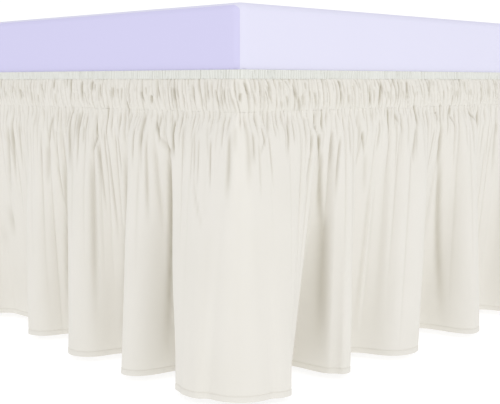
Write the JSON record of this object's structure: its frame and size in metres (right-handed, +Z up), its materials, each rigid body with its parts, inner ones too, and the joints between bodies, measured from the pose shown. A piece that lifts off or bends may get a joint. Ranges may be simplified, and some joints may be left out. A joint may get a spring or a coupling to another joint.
{
  "type": "bed skirt on a mattress and bed base",
  "caption": "Gathered wrap-round bed skirt with an elastic heading, hung in loose folds from a plain mattress on a low base with legs",
  "frame": {"origin": "on the floor, under the middle of the bed and the skirt", "axes": "+Z up, the bed's long sides along Y with the foot at -Y, its width along X; the corner in view is at +X and -Y"},
  "size_m": [1.0967, 2.011, 0.465],
  "materials": {
    "skirt_cloth": "soft brushed plain weave, faint sheen",
    "elastic_cloth": "matte ribbed elastic",
    "mattress_cloth": "matte plain ticking",
    "base_wood": "matte pale timber"
  },
  "bodies": {
    "root": {"mattress": "mattress_cloth", "base_slab": "base_wood", "leg_1": "base_wood", "leg_2": "base_wood", "leg_3": "base_wood", "leg_4": "base_wood", "elastic_edging": "elastic_cloth", "heading_band": "skirt_cloth", "skirt_width_1": "skirt_cloth", "skirt_width_2": "skirt_cloth", "skirt_width_3": "skirt_cloth", "skirt_width_4": "skirt_cloth"}
  },
  "joints": []
}
